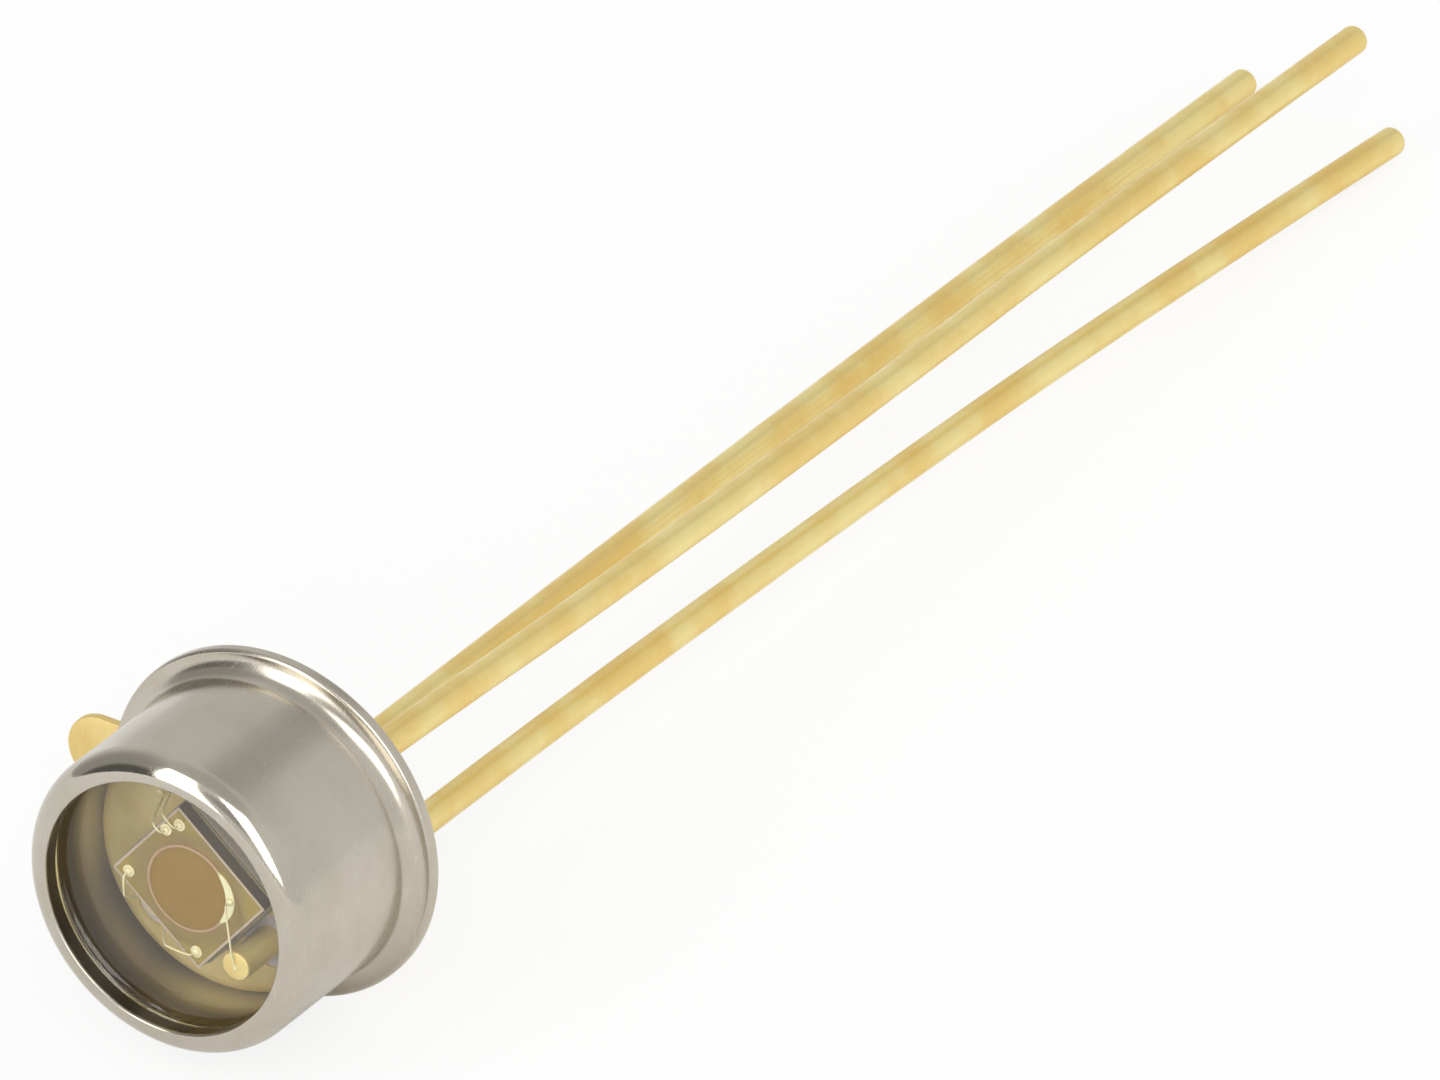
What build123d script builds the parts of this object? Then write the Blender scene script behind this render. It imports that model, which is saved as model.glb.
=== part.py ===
from build123d import *
import math
import os

# A photodiode in a metal can, lying on its flange and the tips of two of its leads.
# Every piece is built upright first: its axis is Z, the header's seating plane is z = 0, the window looks
# towards +Z and the leads run down. The whole part is then laid down, with its window facing -Y.

# Header: a drawn platform with a broad round shoulder, which fills the cap's bore, and a flange with an index
# tab. The flange is smaller than the cap's, which hides it.
flange_r = 2.55
flange_t = 0.14
flange_edge = 0.03
platform_clearance = 0.05
platform_h = 1.56
platform_shoulder = 0.27
tab_w = 1.10
tab_reach = 3.59
tab_angle = 180.0

# Cap, a drawn shell of one thickness with a thin weld flange
cap_r = 2.35
cap_wall = 0.25
cap_corner = 0.36
cap_inner_corner = 0.04
cap_flange_r = 2.70
cap_flange_t = 0.20
cap_flange_edge = 0.06
cap_root = 0.18
cap_mouth = 0.10
aperture_r = 1.95
aperture_edge = 0.03

# Window, and the frit that seals it under the cap's front lip
window_t = 0.30
window_clearance = 0.09
window_rim_gap = 0.06
window_edge = 0.02
frit_t = 0.03
frit_setback = 0.02
frit_rim_h = 0.18

# Leads. Each angle is counted from +X as seen from the window's side.
lead_r = 0.225
lead_tip = 0.12
lead_1_length = 27.26
lead_2_length = 27.06
lead_3_length = 27.06
pitch_r = 1.27
lead_1_angle = 225.0
lead_2_angle = 315.0
lead_3_angle = 45.0
lead_1_rise = 0.14
lead_2_rise = 0.14
post_edge = 0.02
seal_r = 0.42
seal_recess = 0.05
seal_meniscus = 0.03
braze_r = 0.40
braze_depth = 0.45
braze_over_lead = 0.05

# At rest the edge of the cap's flange and the tips of leads 1 and 2 touch the table. The tip of lead 2 sets
# the slope at which the part lies, and lead 1 is bent so that its own tip comes to the same table.
cap_base = flange_t
rest_edge = cap_base + cap_flange_edge
lead_2_drop = -0.06
tip_level = pitch_r * math.sin(math.radians(lead_2_angle)) + lead_2_drop - lead_r
rest_slope = (cap_flange_r + tip_level) / (lead_2_length - lead_tip + rest_edge)
lead_1_level = rest_slope * (lead_1_length - lead_tip + rest_edge) - cap_flange_r
lead_1_drop = lead_1_level + lead_r - pitch_r * math.sin(math.radians(lead_1_angle))

# Hand bends of the leads: the distance below the header, then how far the lead has moved along X and Y.
lead_1_bends = ((17.5, 0.00, 0.00), (lead_1_length, 0.24, lead_1_drop))
lead_2_bends = ((3.5, 0.00, 0.00), (12.0, 0.25, -0.01), (19.5, 0.57, -0.03),
                (lead_2_length, 1.19, lead_2_drop))
lead_3_bends = ((1.2, 0.00, 0.00), (6.5, 0.17, -0.13), (13.5, 0.27, -0.21), (20.5, 0.31, -0.24),
                (lead_3_length, 0.43, -0.35))
bend_share = 0.45

# Die and the stack that carries it. The chip is turned about the axis by chip_angle.
chip_angle = -38.5
die_u = 1.87
die_w = 1.74
die_t = 0.21
die_solder_t = 0.02
die_solder_margin = 0.01
land_t = 0.02
land_margin = 0.02
submount_t = 0.43
submount_margin = 0.03
submount_solder_t = 0.03
submount_solder_margin = 0.05

# Thin films on the die: its round active area, the ring around that, and the bond pads
film_t = 0.02
active_r = 0.635
ring_gap = 0.003
ring_outer_r = 0.68
landing_r = 0.46
landing_shift = 0.32
landing_angle = 41.5
pad_size = 0.18
pad_corner = 0.08
pad_inset = 0.20
second_pad_inset = 0.12
second_pad_pitch = 0.26

# Bond wires: a ball on the die, a loop, and a stitch on a post or on the platform
wire_r = 0.015
ball_r = 0.065
ball_h = 0.045
stitch_l = 0.10
stitch_w = 0.06
stitch_t = 0.02
loop_rise = 0.13
loop_bend = 0.05
stitch_spread = 0.09
shield_reach = 0.34
shield_step = 0.32

# Levels and radii that follow from the sizes above
submount_base = platform_h + submount_solder_t
land_base = submount_base + submount_t
die_solder_base = land_base + land_t
die_base = die_solder_base + die_solder_t
die_top = die_base + die_t
film_top = die_top + film_t
loop_top = film_top + loop_rise
cap_inner_r = cap_r - cap_wall
platform_r = cap_inner_r - platform_clearance
window_r = cap_inner_r - window_rim_gap
window_back = loop_top + window_clearance
window_front = window_back + window_t
lip_under = window_front + frit_t
cap_front = lip_under + cap_wall
lead_1_top = platform_h + lead_1_rise
lead_2_top = die_top + lead_2_rise
pad_u = die_u / 2 - pad_inset
pad_w = die_w / 2 - pad_inset
second_pad_u = die_u / 2 - second_pad_inset
second_pad_w = pad_w - second_pad_pitch

UPRIGHT = (Align.CENTER, Align.CENTER, Align.MIN)


def polar(radius, angle, z=0.0):
    turn = math.radians(angle)
    return Vector(radius * math.cos(turn), radius * math.sin(turn), z)


def on_chip(u, w, z=0.0):
    """A place given along the chip's own two sides."""
    return Vector(u, w, z).rotate(Axis.Z, chip_angle)


def revolved(points, radii):
    """A solid of revolution about Z. Each point is a radius and a height, with its own corner radius."""
    outline = FilletPolyline(*[(r, 0, z) for r, z in points], radius=radii, close=True)
    return revolve(make_face(outline), Axis.Z)


def disc(radius, height, base, centre=Vector(0, 0, 0)):
    return Pos(centre.X, centre.Y, base) * Cylinder(radius, height, align=UPRIGHT)


def chip_block(margin, height, base):
    """A layer under the die: the die's outline grown by a margin."""
    layer = Box(die_u + 2 * margin, die_w + 2 * margin, height, align=UPRIGHT)
    return Rot(0, 0, chip_angle) * Pos(0, 0, base) * layer


def make_header():
    body = revolved(
        [(0, 0), (flange_r, 0), (flange_r, flange_t), (platform_r, flange_t), (platform_r, platform_h),
         (0, platform_h)],
        [0, flange_edge, flange_edge, 0, platform_shoulder, 0],
    )
    tab_end = tab_reach - tab_w / 2
    outline = Pos(tab_end / 2, 0) * Rectangle(tab_end, tab_w) + Pos(tab_end, 0) * Circle(tab_w / 2)
    tab = extrude(outline, flange_t)
    tab = chamfer(tab.edges().filter_by(Plane.XY), flange_edge)
    body = body + Rot(0, 0, tab_angle) * tab
    for angle in (lead_1_angle, lead_2_angle):
        body = body - disc(seal_r, platform_h, 0, polar(pitch_r, angle))
    return body - disc(braze_r, braze_depth, 0, polar(pitch_r, lead_3_angle))


def make_cap():
    flange_top = cap_base + cap_flange_t
    return revolved(
        [(cap_flange_r, cap_base), (cap_flange_r, flange_top), (cap_r, flange_top), (cap_r, cap_front),
         (aperture_r, cap_front), (aperture_r, lip_under), (cap_inner_r, lip_under), (cap_inner_r, cap_base)],
        [cap_flange_edge, cap_flange_edge, cap_root, cap_corner,
         aperture_edge, 0, cap_inner_corner, cap_mouth],
    )


def make_window():
    glass = disc(window_r, window_t, window_back)
    return chamfer(glass.edges().filter_by(GeomType.CIRCLE), window_edge)


def make_window_seal():
    """Frit between the lip and the glass, and a collar of it around the glass's rim."""
    inner = aperture_r + frit_setback
    collar_base = window_front - frit_rim_h
    return revolved(
        [(inner, lip_under), (cap_inner_r, lip_under), (cap_inner_r, collar_base), (window_r, collar_base),
         (window_r, window_front), (inner, window_front)],
        [0, cap_inner_corner, 0, 0, 0, 0],
    )


def bend_radii(points):
    """Arcs as large as the runs beside each corner allow, so that the wire reads as gently bent by hand."""
    radii = []
    for before, here, after in zip(points, points[1:], points[2:]):
        run_in = here - before
        run_out = after - here
        turn = math.radians(run_in.get_angle(run_out))
        radii.append(bend_share * min(run_in.length, run_out.length) / math.tan(turn / 2))
    return radii


def make_lead(angle, top, bends):
    root = polar(pitch_r, angle)
    points = [root + Vector(0, 0, top)]
    points += [root + Vector(x, y, -depth) for depth, x, y in bends]
    radii = bend_radii(points)
    path = FilletPolyline(*points, radius=radii)
    section = Plane(origin=points[0], z_dir=points[1] - points[0]) * Circle(lead_r)
    lead = sweep(section, path=path)
    ends = lead.edges().filter_by(GeomType.CIRCLE).sort_by(Axis.Z)
    lead = fillet(ends[0], lead_tip)
    lead = fillet(lead.edges().filter_by(GeomType.CIRCLE).sort_by(Axis.Z)[-1], post_edge)
    print("lead bends, mm:", [round(radius) for radius in radii])
    return lead


def make_glass_seal(angle):
    place = polar(pitch_r, angle)
    top = platform_h - seal_recess
    bead = revolved(
        [(lead_r, seal_recess - seal_meniscus), (seal_r, seal_recess),
         (seal_r, top), (lead_r, top + seal_meniscus)],
        [0, 0, 0, 0],
    )
    return Pos(place.X, place.Y, 0) * bead


def make_braze():
    place = polar(pitch_r, lead_3_angle)
    lead_end = disc(lead_r, braze_depth - braze_over_lead, 0, place)
    return disc(braze_r, braze_depth, 0, place) - lead_end


def make_anode_ring():
    """A thin ring around the active area. A disc that is off centre swells it into the wire's landing."""
    landing = disc(landing_r, film_t, die_top, polar(landing_shift, chip_angle + landing_angle))
    return disc(ring_outer_r, film_t, die_top) + landing - disc(active_r + ring_gap, film_t, die_top)


def make_pad(u, w):
    place = on_chip(u, w)
    square = extrude(RectangleRounded(pad_size, pad_size, pad_corner), film_t)
    return Pos(place.X, place.Y, die_top) * Rot(0, 0, chip_angle) * square


def make_bond_wire(start, landing, stitch_z, over=None):
    """A wire with its ball on the die at start and its stitch at landing, on a face at height stitch_z."""
    foot = Vector(start.X, start.Y, film_top)
    end = Vector(landing.X, landing.Y, stitch_z)
    middle = end if over is None else over
    heading = Vector(middle.X - foot.X, middle.Y - foot.Y, 0).normalized()
    shoulder = Vector(foot.X, foot.Y, loop_top) + heading * loop_bend
    points = [foot + Vector(0, 0, ball_h - wire_r), shoulder]
    if over is not None:
        points.append(Vector(over.X, over.Y, loop_top))
    points.append(Vector(end.X, end.Y, stitch_z + stitch_t))
    radii = []
    for before, here, after in zip(points, points[1:], points[2:]):
        radii.append(min(loop_bend, bend_share * (here - before).length, bend_share * (after - here).length))
    path = FilletPolyline(*points, radius=radii)
    section = Plane(origin=points[0], z_dir=points[1] - points[0]) * Circle(wire_r)
    wire = sweep(section, path=path)
    ball = disc(ball_r, ball_h, film_top, start)
    ball = fillet(ball.edges().filter_by(GeomType.CIRCLE), ball_h * bend_share)
    turn = math.degrees(math.atan2(heading.Y, heading.X))
    stitch = Pos(end.X, end.Y, stitch_z) * Rot(0, 0, turn) * Box(stitch_l, stitch_w, stitch_t, align=UPRIGHT)
    return wire + ball + stitch


def make_wires():
    """The cathode and shield wires pass over the submount's edge and go down, to a low post or the platform."""
    anode_start = polar((active_r + ring_gap + landing_shift + landing_r) / 2, chip_angle + landing_angle)
    wires = {"anode_wire": make_bond_wire(anode_start, polar(pitch_r, lead_2_angle), lead_2_top)}
    post = polar(pitch_r, lead_1_angle - chip_angle)
    edge_w = -(die_w / 2 + submount_margin + loop_bend)
    for number, side in ((1, -1), (2, 1)):
        start = Vector(side * pad_u, -pad_w)
        landing = Vector(post.X + side * stitch_spread, post.Y)
        over = start + (landing - start) * ((edge_w - start.Y) / (landing.Y - start.Y))
        wires[f"cathode_wire_{number}"] = make_bond_wire(
            on_chip(start.X, start.Y), on_chip(landing.X, landing.Y), lead_1_top, on_chip(over.X, over.Y))
    edge_u = -(die_u / 2 + submount_margin)
    for number, u, w in ((1, pad_u, pad_w), (2, second_pad_u, second_pad_w)):
        wires[f"shield_wire_{number}"] = make_bond_wire(
            on_chip(-u, w), on_chip(edge_u - shield_reach, w - shield_step), platform_h,
            on_chip(edge_u - loop_bend, w))
    return wires


def make_pieces():
    pieces = {
        "header": make_header(),
        "cap": make_cap(),
        "window": make_window(),
        "window_seal": make_window_seal(),
        "lead_1": make_lead(lead_1_angle, lead_1_top, lead_1_bends),
        "lead_2": make_lead(lead_2_angle, lead_2_top, lead_2_bends),
        "lead_3": make_lead(lead_3_angle, braze_depth - braze_over_lead, lead_3_bends),
        "glass_seal_1": make_glass_seal(lead_1_angle),
        "glass_seal_2": make_glass_seal(lead_2_angle),
        "lead_3_braze": make_braze(),
        "submount_solder": chip_block(submount_solder_margin, submount_solder_t, platform_h),
        "submount": chip_block(submount_margin, submount_t, submount_base),
        "submount_metal": chip_block(land_margin, land_t, land_base),
        "die_solder": chip_block(die_solder_margin, die_solder_t, die_solder_base),
        "die": chip_block(0, die_t, die_base),
        "active_area": disc(active_r, film_t, die_top),
        "anode_ring": make_anode_ring(),
        "cathode_pad_1": make_pad(-pad_u, -pad_w),
        "cathode_pad_2": make_pad(pad_u, -pad_w),
        "shield_pad_1": make_pad(-pad_u, pad_w),
        "shield_pad_2": make_pad(-second_pad_u, second_pad_w),
    }
    pieces.update(make_wires())
    return pieces


rest_tilt = math.degrees(math.atan(rest_slope))
lie_down = Rot(90 - rest_tilt, 0, 0)
print("rest tilt, degrees:", round(rest_tilt, 3))

os.makedirs("parts", exist_ok=True)
for name, piece in make_pieces().items():
    export_step(lie_down * piece, f"parts/{name}.step")
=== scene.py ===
# %% [markdown]
# # A photodiode in a metal can
# This light sensor is about as wide as a lentil. A drawn nickel cap with a flat glass window stands on a gold
# header, three gold leads run out of the back, and a square chip lies behind the glass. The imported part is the
# fixed frame for all of it. It says where every piece is, but its meshes are coarse, so each piece that shows
# is made again here with fine curves and a proper finish. One could also only paint the coarse meshes, but
# polished metal shows every facet.

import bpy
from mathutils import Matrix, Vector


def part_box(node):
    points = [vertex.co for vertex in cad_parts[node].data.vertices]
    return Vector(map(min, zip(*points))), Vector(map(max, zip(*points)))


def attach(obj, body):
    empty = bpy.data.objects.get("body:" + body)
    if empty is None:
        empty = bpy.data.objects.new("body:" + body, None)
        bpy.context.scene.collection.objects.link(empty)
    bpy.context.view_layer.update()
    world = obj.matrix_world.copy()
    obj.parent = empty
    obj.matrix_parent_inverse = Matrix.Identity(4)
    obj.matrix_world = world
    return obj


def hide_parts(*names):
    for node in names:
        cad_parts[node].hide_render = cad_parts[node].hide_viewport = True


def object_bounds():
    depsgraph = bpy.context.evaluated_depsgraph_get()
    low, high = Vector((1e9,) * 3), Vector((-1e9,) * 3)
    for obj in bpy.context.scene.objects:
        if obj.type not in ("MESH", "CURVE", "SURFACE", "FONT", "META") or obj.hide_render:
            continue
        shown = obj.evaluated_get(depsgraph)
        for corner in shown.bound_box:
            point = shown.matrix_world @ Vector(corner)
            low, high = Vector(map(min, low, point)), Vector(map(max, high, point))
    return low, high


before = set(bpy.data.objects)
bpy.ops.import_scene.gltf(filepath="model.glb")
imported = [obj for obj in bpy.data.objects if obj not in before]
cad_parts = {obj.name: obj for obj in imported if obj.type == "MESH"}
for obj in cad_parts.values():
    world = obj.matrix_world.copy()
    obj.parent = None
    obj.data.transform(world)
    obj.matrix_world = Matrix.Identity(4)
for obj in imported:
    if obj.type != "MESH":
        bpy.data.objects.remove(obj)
cad_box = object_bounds()
print("nodes in the packed part:", len(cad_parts))

# %% The modules used below
import math

import bmesh
import bpy
from mathutils import Matrix, Quaternion, Vector, noise

print("Blender", bpy.app.version_string)

# %% [markdown]
# ## Upright and lying down
# A can like this is easiest to think of upright: its axis is Z, the header's seating plane is at zero, the
# window looks up and the leads run down. At rest it lies on the edge of its flange and on the tips of two
# leads. So every mesh is made upright, in millimetres, and one matrix lays it down and turns millimetres into
# metres. The objects themselves all stay at the origin.

# %% Sizes of the header and the leads, in millimetres
FLANGE_R = 2.55
FLANGE_T = 0.14
FLANGE_EDGE = 0.03
PLATFORM_R = 2.05
PLATFORM_H = 1.56
PLATFORM_SHOULDER = 0.27
TAB_W = 1.10
TAB_REACH = 3.59
TAB_ANGLE = 180.0
LEAD_R = 0.225
LEAD_TIP = 0.12
PITCH_R = 1.27
LEAD_ANGLES = {1: 225.0, 2: 315.0, 3: 45.0}
LEAD_LENGTHS = {1: 27.26, 2: 27.06, 3: 27.06}
LEAD_2_DROP = -0.06

# %% The matrix that lays the part down
CAP_FLANGE_R = 2.70
CAP_FLANGE_EDGE = 0.06
CAP_BASE = FLANGE_T
REST_EDGE = CAP_BASE + CAP_FLANGE_EDGE
LEAD_2_LEVEL = PITCH_R * math.sin(math.radians(LEAD_ANGLES[2])) + LEAD_2_DROP - LEAD_R
REST_SLOPE = (CAP_FLANGE_R + LEAD_2_LEVEL) / (LEAD_LENGTHS[2] - LEAD_TIP + REST_EDGE)
MM = 0.001
LIE_DOWN = Matrix.Rotation(math.pi / 2 - math.atan(REST_SLOPE), 4, "X") @ Matrix.Scale(MM, 4)
print("the leads slope down by", round(math.degrees(math.atan(REST_SLOPE)), 2), "degrees")

# %% [markdown]
# ## Camera
# The photograph was taken from far away with a long lens, from the right and from above, so lines that are
# parallel on the part stay nearly parallel in the picture. The camera looks at the middle of the cap's front
# from that direction, and is then slid sideways until this point falls where the photograph has it. Turning
# the camera instead would change the view of the can a little.

# %% Camera
PICTURE = (1440, 1080)
FRONT_AT = (160.9, 909.4)
CAP_FRONT = 3.09
AZIMUTH = math.radians(32.634)
ELEVATION = math.radians(33.612)
LENS = 450.0
SENSOR = 36.0
DISTANCE = 250.0

back = Vector((math.sin(AZIMUTH) * math.cos(ELEVATION), -math.cos(AZIMUTH) * math.cos(ELEVATION),
               math.sin(ELEVATION)))
aim = (-back).to_track_quat("-Z", "Y")
pixel = SENSOR / PICTURE[0] / LENS * DISTANCE
across = (PICTURE[0] / 2 - FRONT_AT[0]) * pixel
down = (PICTURE[1] / 2 - FRONT_AT[1]) * pixel
front_centre = LIE_DOWN @ Vector((0, 0, CAP_FRONT))
camera = bpy.data.objects.new("camera", bpy.data.cameras.new("camera"))
camera.data.lens = LENS
camera.data.sensor_width = SENSOR
camera.data.clip_start = 0.01
camera.rotation_mode = "QUATERNION"
camera.rotation_quaternion = aim
camera.location = front_centre + (back * DISTANCE + aim @ Vector((across, -down, 0))) * MM
bpy.context.scene.collection.objects.link(camera)
bpy.context.scene.camera = camera
print("camera at, mm:", [round(v / MM, 2) for v in camera.location])

# %% [markdown]
# ## Outlines with rounded corners
# Nearly everything here was turned, drawn or pressed, so most pieces are a flat outline that is either spun
# about an axis or given a thickness. Real edges are never sharp: light catches on them, and that is what
# makes metal look like metal. This helper takes the corners of an outline, each with its own radius, and puts
# an arc in each. A bevel on the finished mesh would do it too, but can't give each corner its own radius.

# %% Rounded outlines
def rounded(corners, steps=8):
    """Points of a closed outline. Each corner is (across, up, radius)."""
    outline = []
    for i, (x, y, radius) in enumerate(corners):
        here = Vector((x, y))
        if radius == 0:
            outline.append(here)
            continue
        to_last = (Vector(corners[i - 1][:2]) - here).normalized()
        to_next = (Vector(corners[(i + 1) % len(corners)][:2]) - here).normalized()
        half = to_last.angle(to_next) / 2
        centre = here + (to_last + to_next).normalized() * (radius / math.sin(half))
        first = here + to_last * (radius / math.tan(half)) - centre
        last = here + to_next * (radius / math.tan(half)) - centre
        start = math.atan2(first.y, first.x)
        turn = (math.atan2(last.y, last.x) - start + math.pi) % (2 * math.pi) - math.pi
        for step in range(steps + 1):
            angle = start + turn * step / steps
            outline.append(centre + radius * Vector((math.cos(angle), math.sin(angle))))
    return outline


def circle(radius, points=96, centre=(0, 0)):
    """Points round a circle, counter-clockwise."""
    angles = [2 * math.pi * i / points for i in range(points)]
    return [Vector(centre) + radius * Vector((math.cos(a), math.sin(a))) for a in angles]


def polar(radius, angle):
    """A place given by its distance from the axis and its angle in degrees."""
    return Vector((radius * math.cos(math.radians(angle)), radius * math.sin(math.radians(angle))))


print("points in a rounded square:", len(rounded([(0, 0, 0.1), (1, 0, 0.1), (1, 1, 0.1), (0, 1, 0.1)])))

# %% [markdown]
# ## Spinning and stacking
# A turned piece is its outline spun about an axis. A pressed piece is a stack of rings: the same outline at
# several heights, drawn in a little at the top and the bottom so that the edges are round. Both give clean
# bands of four-sided faces, which reflect light smoothly.

# %% Spin an outline about an axis
def spin(bm, outline, turns=240, centre=(0, 0)):
    """Adds a solid of revolution. The outline's points are (radius, height)."""
    axis_point = Vector((centre[0], centre[1], 0))
    ring = [bm.verts.new(axis_point + Vector((p.x, 0, p.y))) for p in outline]
    edges = [bm.edges.new(pair) for pair in zip(ring, ring[1:] + ring[:1])]
    bmesh.ops.spin(bm, geom=ring + edges, cent=axis_point, axis=(0, 0, 1), angle=2 * math.pi, steps=turns,
                   use_merge=True)


# %% Stack an outline into a plate
def drawn_in(outline, distance):
    """The same outline moved inwards by a distance; its points run counter-clockwise."""
    moved = []
    for i, here in enumerate(outline):
        run_in = (here - outline[i - 1]).normalized()
        run_out = (outline[(i + 1) % len(outline)] - here).normalized()
        inward = Vector((-run_in.y - run_out.y, run_in.x + run_out.x)).normalized()
        share = max(0.3, inward.dot(Vector((-run_in.y, run_in.x))))
        moved.append(here + inward * (distance / share))
    return moved


def ring_at(bm, outline, height):
    return [bm.verts.new((p.x, p.y, height)) for p in outline]


def join_rings(bm, lower, upper):
    """A band of faces between two rings with as many points each."""
    for i in range(len(lower)):
        j = (i + 1) % len(lower)
        bm.faces.new((lower[i], lower[j], upper[j], upper[i]))


def plate(bm, outline, base, top, edge, steps=4):
    """Adds a plate with rounded edges and flat ends."""
    levels = []
    for step in range(steps + 1):
        turn = math.pi / 2 * step / steps
        levels.append((edge * (1 - math.sin(turn)), edge * (1 - math.cos(turn))))
    rings = [ring_at(bm, drawn_in(outline, inset), base + up) for inset, up in levels]
    rings += [ring_at(bm, drawn_in(outline, inset), top - up) for inset, up in reversed(levels)]
    for lower, upper in zip(rings, rings[1:]):
        join_rings(bm, lower, upper)
    bm.faces.new(list(reversed(rings[0])))
    bm.faces.new(rings[-1])


def fill_between(bm, *rings):
    """A flat face inside the first ring, with the other rings as its holes."""
    edges = set()
    for ring in rings:
        for pair in zip(ring, ring[1:] + ring[:1]):
            edges.add(bm.edges.get(pair) or bm.edges.new(pair))
    bmesh.ops.triangle_fill(bm, edges=list(edges), use_beauty=True)


# %% [markdown]
# ## Tubes along a path
# Leads and bond wires are round wires that were bent. A tube is a ring of points carried along the wire's
# path. The path comes from a smooth curve through a few given points, so that a bend has no kinks,
# and each ring may have its own radius, which rounds the ends.

# %% Smooth paths and tubes
def smooth_path(points, steps):
    """Points along a smooth curve that is led by a few points."""
    curve = bpy.data.curves.new("path", "CURVE")
    curve.dimensions = "3D"
    spline = curve.splines.new("NURBS")
    spline.points.add(len(points) - 1)
    for slot, point in zip(spline.points, points):
        slot.co = (*point, 1)
    spline.order_u = 3
    spline.use_endpoint_u = True
    spline.resolution_u = steps
    guide = bpy.data.objects.new("path", curve)
    bpy.context.scene.collection.objects.link(guide)
    bpy.context.view_layer.update()
    line = bpy.data.meshes.new_from_object(guide.evaluated_get(bpy.context.evaluated_depsgraph_get()))
    path = [vertex.co.copy() for vertex in line.vertices]
    bpy.data.objects.remove(guide)
    bpy.data.curves.remove(curve)
    bpy.data.meshes.remove(line)
    return path


def spaced(path, gap):
    """The same path with its points a set distance apart."""
    evenly = [path[0]]
    left = gap
    for here, there in zip(path, path[1:]):
        run = (there - here).length
        done = 0.0
        while run - done >= left:
            done += left
            evenly.append(here.lerp(there, done / run))
            left = gap
        left -= run - done
    if (path[-1] - evenly[-1]).length > gap / 10:
        evenly.append(path[-1])
    return evenly


def tube(bm, path, radii, around=32):
    """Adds a round wire with closed ends along a path, with a radius at each of its points."""
    side = None
    rings = []
    for i, (here, radius) in enumerate(zip(path, radii)):
        ahead = (path[min(i + 1, len(path) - 1)] - path[max(i - 1, 0)]).normalized()
        if side is None:
            side = ahead.orthogonal().normalized()
        side = (side - ahead * side.dot(ahead)).normalized()
        other = ahead.cross(side)
        turns = [2 * math.pi * k / around for k in range(around)]
        rings.append([bm.verts.new(here + (side * math.cos(t) + other * math.sin(t)) * radius) for t in turns])
    for lower, upper in zip(rings, rings[1:]):
        join_rings(bm, lower, upper)
    bm.faces.new(list(reversed(rings[0])))
    bm.faces.new(rings[-1])


# %% [markdown]
# ## From mesh to piece
# Each finished mesh is laid down, shaded smoothly except across real corners, and put on the part's one body.
# It also hides the node of the imported part that it stands for, and takes its finish. The even shading lets
# the large flat faces keep their own direction, so they stay flat beside a rounded edge.

# %% Make a piece
def piece(name, bm, finish, slot, *stands_for, corner=40.0):
    bmesh.ops.remove_doubles(bm, verts=bm.verts, dist=1e-5)
    bmesh.ops.recalc_face_normals(bm, faces=bm.faces)
    bm.transform(LIE_DOWN)
    mesh = bpy.data.meshes.new(name)
    bm.to_mesh(mesh)
    bm.free()
    mesh.materials.append(finish)
    mesh.shade_smooth()
    mesh.set_sharp_from_angle(angle=math.radians(corner))
    made = bpy.data.objects.new(name, mesh)
    bpy.context.scene.collection.objects.link(made)
    made.modifiers.new("even shading", "WEIGHTED_NORMAL").keep_sharp = True
    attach(made, "root")
    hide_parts(*stands_for)
    corners = [Vector(c) for c in made.bound_box]
    off = max((corners[0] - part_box(stands_for[0])[0]).length, (corners[6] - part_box(stands_for[0])[1]).length)
    print(name, "faces:", len(mesh.polygons), "off its node by, mm:", round(off / MM, 3))
    return made


# %% [markdown]
# ## Colours and shared surface effects
# Colours are written as they look on a screen, from 0 to 255, and turned into the linear values that the
# shaders need. Three effects are used by several materials, so each is a node group that is built once: where
# a point lies on the upright part, the fine grain of a plated surface, and hairline handling marks. They give
# only values and colours. The shader itself stays in each material.

# %% Colours and small node helpers
def colour(red, green, blue):
    """A screen colour from 0 to 255 as linear values."""
    linear = [((c / 255 + 0.055) / 1.055) ** 2.4 if c > 10 else c / 255 / 12.92 for c in (red, green, blue)]
    return (*linear, 1.0)


def node(tree, kind, **settings):
    made = tree.nodes.new(kind)
    for name, value in settings.items():
        setattr(made, name, value)
    return made


def calculate(tree, operation, *values, clamp=False):
    """A Math node on numbers or sockets."""
    made = node(tree, "ShaderNodeMath", operation=operation, use_clamp=clamp)
    for socket, value in zip(made.inputs, values):
        if isinstance(value, (int, float)):
            socket.default_value = value
        else:
            tree.links.new(value, socket)
    return made.outputs[0]


def blend(tree, share, one, other, kind="MIX"):
    """A Mix node on two colours, each a colour or a socket."""
    made = node(tree, "ShaderNodeMix", data_type="RGBA", blend_type=kind)
    for socket, value in ((made.inputs["Factor"], share), (made.inputs[6], one), (made.inputs[7], other)):
        if isinstance(value, (int, float, tuple)):
            socket.default_value = value
        else:
            tree.links.new(value, socket)
    return made.outputs[2]


def spread(tree, value, low, high, to_low=0.0, to_high=1.0, smooth=True):
    """A Map Range node: low becomes to_low, high becomes to_high, and nothing goes past them."""
    made = node(tree, "ShaderNodeMapRange", interpolation_type="SMOOTHSTEP" if smooth else "LINEAR")
    tree.links.new(value, made.inputs["Value"])
    for name, number in (("From Min", low), ("From Max", high), ("To Min", to_low), ("To Max", to_high)):
        if isinstance(number, (int, float)):
            made.inputs[name].default_value = number
        else:
            tree.links.new(number, made.inputs[name])
    return made.outputs["Result"]


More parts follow.
